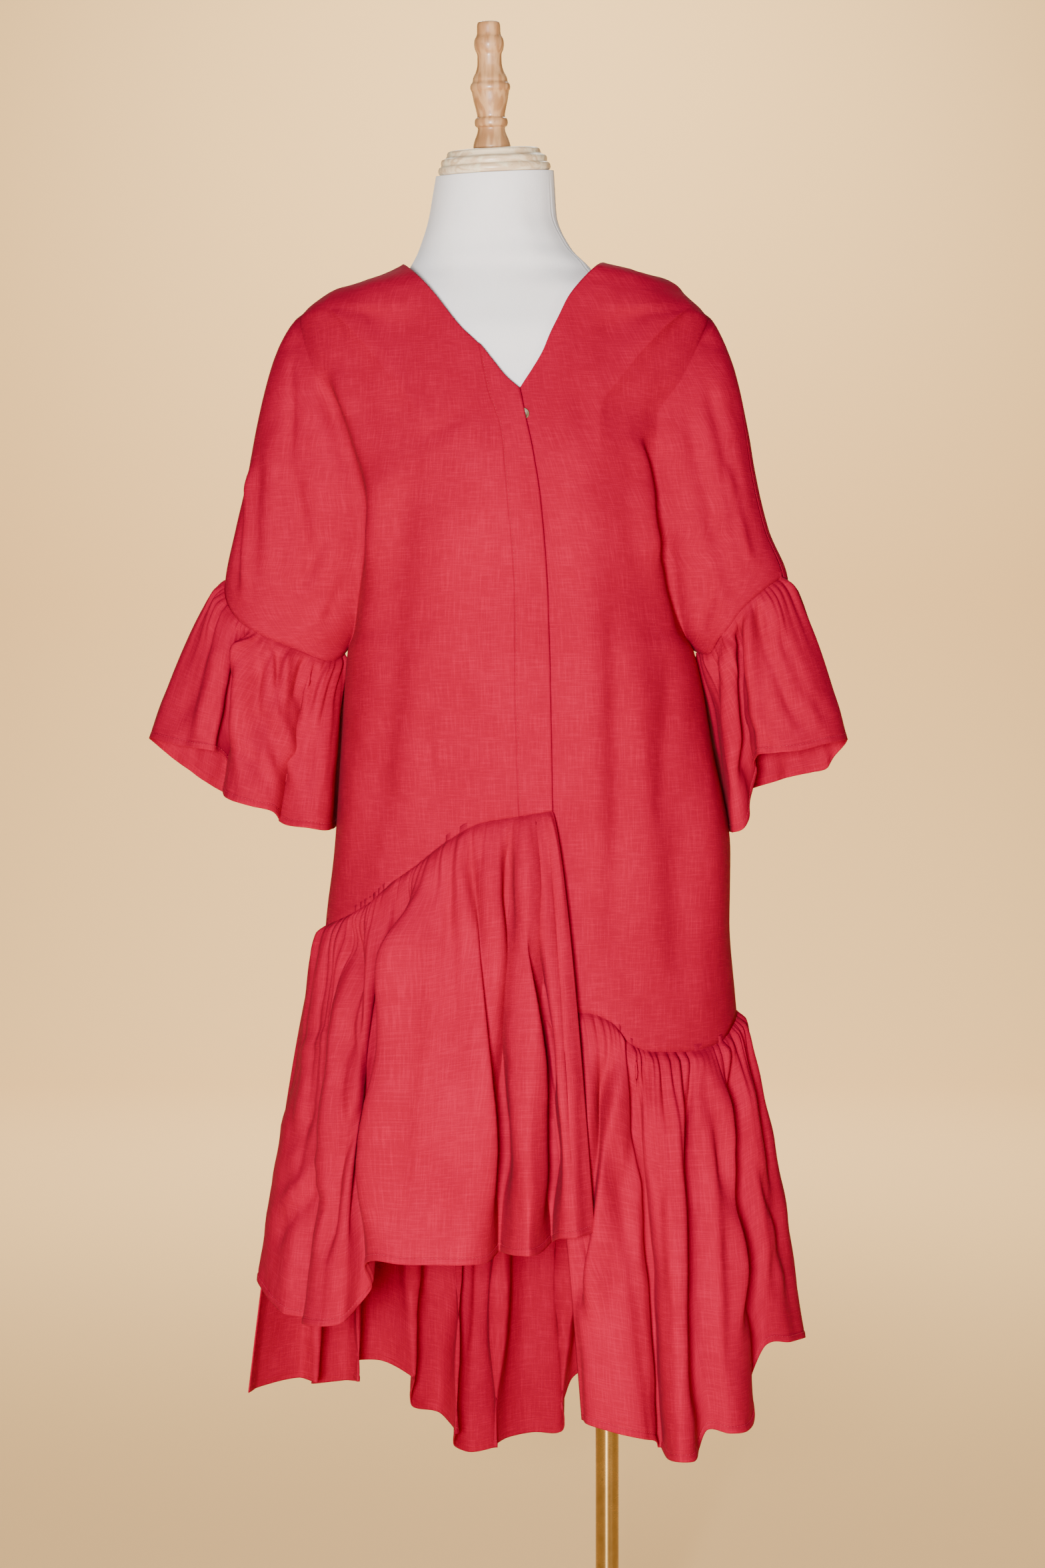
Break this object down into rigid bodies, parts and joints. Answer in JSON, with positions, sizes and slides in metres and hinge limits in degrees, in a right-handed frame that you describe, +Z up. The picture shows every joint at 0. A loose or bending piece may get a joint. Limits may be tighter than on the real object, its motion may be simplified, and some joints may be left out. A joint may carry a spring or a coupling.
{
  "type": "asymmetric ruffle dress on a dress form stand",
  "caption": "Loose kimono-sleeve dress with a V-neck, hidden placket, gathered flounce cuffs and a slanted gathered hem ruffle, on a limbless padded form with a turned cap and a pole stand.",
  "frame": {"origin": "centre of the underside of the stand's base plate, on the pole's axis", "axes": "+Z up along the pole, -Y the front of the dress, +X the wearer's left"},
  "size_m": [0.6757, 0.4345, 1.6314],
  "materials": {
    "cloth": "matte plain weave, linen-like",
    "form_cover": "stretched cotton cover",
    "wood": "turned beech, satin",
    "brass": "polished, slightly aged",
    "button": "matte"
  },
  "bodies": {
    "root": {"front_right": "cloth", "front_left": "cloth", "back": "cloth", "placket_band": "cloth", "cuff_flounce_right": "cloth", "cuff_flounce_left": "cloth", "ruffle_right_front": "cloth", "ruffle_left_front": "cloth", "ruffle_back": "cloth", "button": "button", "form_body": "form_cover", "form_bottom_plate": "wood", "neck_cap": "wood", "finial": "wood", "pole": "brass", "pole_collar": "brass", "base_plate": "brass"}
  },
  "joints": []
}
